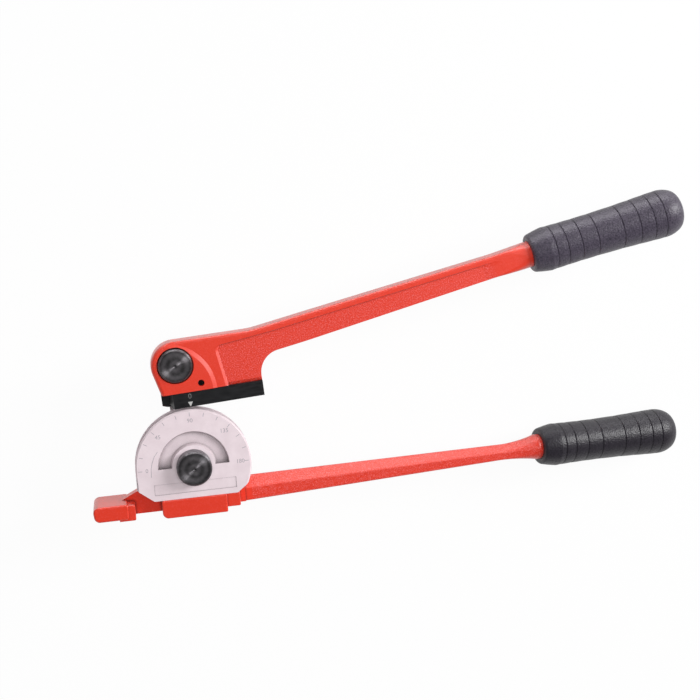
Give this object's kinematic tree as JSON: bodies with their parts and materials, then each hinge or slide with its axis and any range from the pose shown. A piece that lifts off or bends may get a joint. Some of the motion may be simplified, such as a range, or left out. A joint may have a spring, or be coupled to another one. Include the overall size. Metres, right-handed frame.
{
  "type": "pipe bender",
  "caption": "Two-handle pipe bender for 10 mm pipe: grooved former with angle scale, pipe hook, vice lug, and a swinging upper handle with a slide shoe on a pivoted link.",
  "frame": {"origin": "on the main pivot's axis, in the middle plane of the pipe groove (mount pipe_groove)", "axes": "+Z along the main pivot, out of the former's scale face; +X towards the grips, along the straight leg of a pipe bent to 90 degrees; +Y from the lower handle towards the upper one"},
  "size_m": [0.4874, 0.2267, 0.0907],
  "materials": {
    "red_casting": "semi-gloss red enamel on a cast surface",
    "former_grey": "satin pale grey coating",
    "black_plastic": "pebbled black grip",
    "shoe_black": "smooth satin black",
    "dark_steel": "turned and blackened steel",
    "plain_steel": "bright zinc-plated steel",
    "bush_bronze": "sintered bronze"
  },
  "bodies": {
    "lower_handle": {"lower_handle": "red_casting", "lower_grip": "black_plastic", "bending_former": "former_grey", "former_dowels": "plain_steel", "pivot_bolt": "dark_steel", "pivot_thrust_washer": "bush_bronze", "pivot_plain_washer": "plain_steel", "pivot_nut": "plain_steel"},
    "link": {"link_plate": "plain_steel", "link_bush": "bush_bronze", "link_spacer": "plain_steel", "head_bolt": "dark_steel", "head_thrust_washer": "bush_bronze", "head_plain_washer": "plain_steel", "head_nut": "plain_steel"},
    "upper_handle": {"upper_handle": "red_casting", "upper_grip": "black_plastic", "slide_shoe": "shoe_black", "shoe_spring_pin": "dark_steel", "head_bush": "bush_bronze"}
  },
  "joints": [
    {"name": "bend_swing", "type": "hinge", "parent": "lower_handle", "child": "link", "pos_m": [0, 0, 0], "axis": [0, 0, 1], "range_deg": [-90, 88]},
    {"name": "head_swing", "type": "hinge", "parent": "link", "child": "upper_handle", "pos_m": [-0.00711, 0.07818, 0], "axis": [0, 0, 1], "range_deg": [0, 95]}
  ]
}
